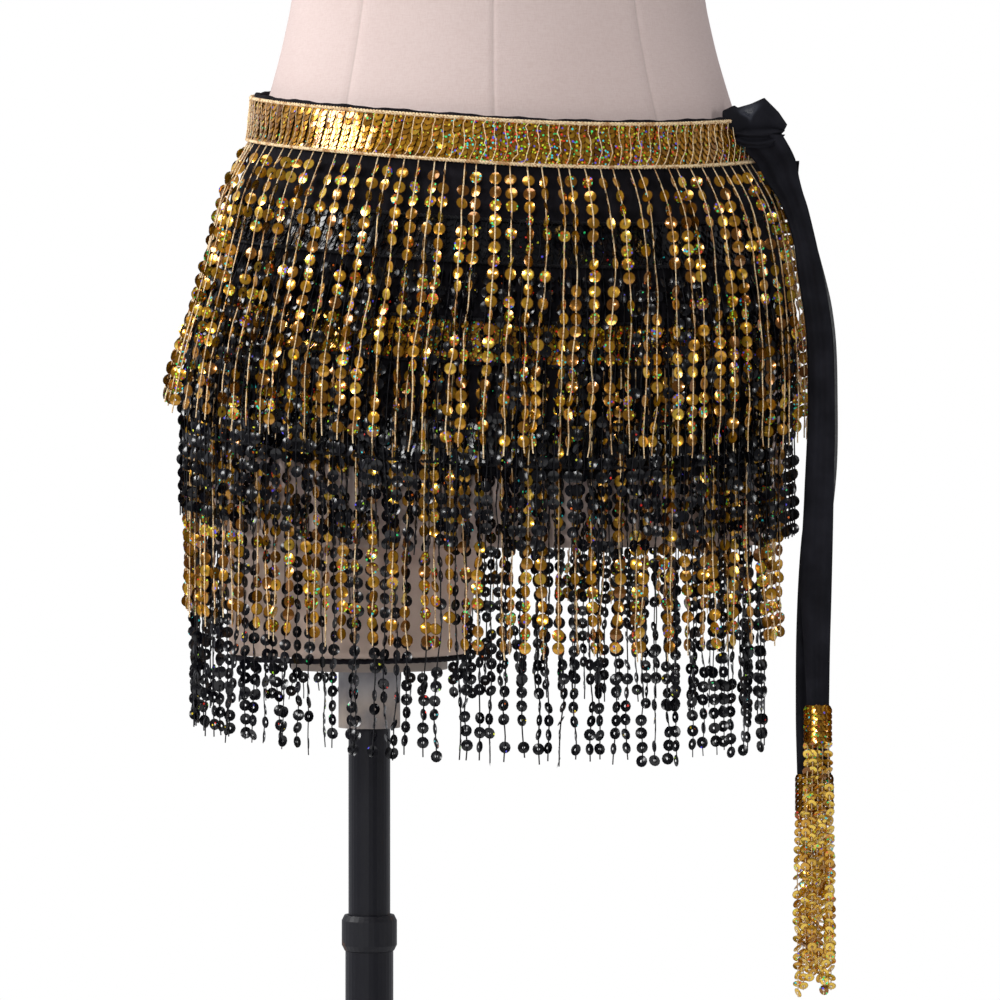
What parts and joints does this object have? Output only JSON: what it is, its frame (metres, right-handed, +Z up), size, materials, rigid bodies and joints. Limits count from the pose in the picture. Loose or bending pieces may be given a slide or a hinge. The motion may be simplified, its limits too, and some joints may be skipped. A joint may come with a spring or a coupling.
{
  "type": "belly dance hip scarf on a dress form",
  "caption": "Black belly dance hip scarf with gold and black sequin fringe in tiers, tied at one hip of a limbless linen dress form on a black pole stand.",
  "frame": {"origin": "the middle of the stand's foot, on the floor", "axes": "+Z up along the pole, the front of the form faces -Y, the scarf's tie hangs on the +X side"},
  "size_m": [0.4546, 0.4, 1.458],
  "materials": {
    "linen": "pale pinkish linen cover, fine plain weave",
    "black_cord": "black covered cord",
    "grey_socket": "grey moulded socket",
    "black_steel": "black paint with slight wear",
    "black_cloth": "black knit and thin black chiffon",
    "gold_sequin": "gold foil sequins with a rainbow fleck",
    "black_sequin": "glossy black sequins"
  },
  "bodies": {
    "stand": {"stand_foot": "black_steel", "lower_pole": "black_steel", "pole_collar": "black_steel"},
    "raised": {"upper_pole": "black_steel", "pole_socket": "grey_socket", "socket_plate": "grey_socket", "form_piping": "black_cord", "form_torso": "linen", "form_neck_cap": "black_steel", "waist_binding": "black_cloth", "base_cloth": "black_cloth", "trim_1": "gold_sequin", "fringe_1": "gold_sequin", "trim_2": "black_sequin", "fringe_2": "black_sequin", "trim_3": "gold_sequin", "fringe_3": "gold_sequin", "trim_4": "black_sequin", "fringe_4": "black_sequin", "tie_knot": "black_cloth", "tie_loop": "black_cloth", "tie_strap_front": "black_cloth", "tie_strap_back": "black_cloth", "tail_front": "black_cloth", "tail_trim_front": "gold_sequin", "tassel_front": "gold_sequin", "tail_back": "black_cloth", "tail_trim_back": "gold_sequin", "tassel_back": "gold_sequin"}
  },
  "joints": [
    {"name": "pole_height", "type": "slide", "parent": "stand", "child": "raised", "axis": [0, 0, 1], "range_m": [-0.1, 0.15]}
  ]
}
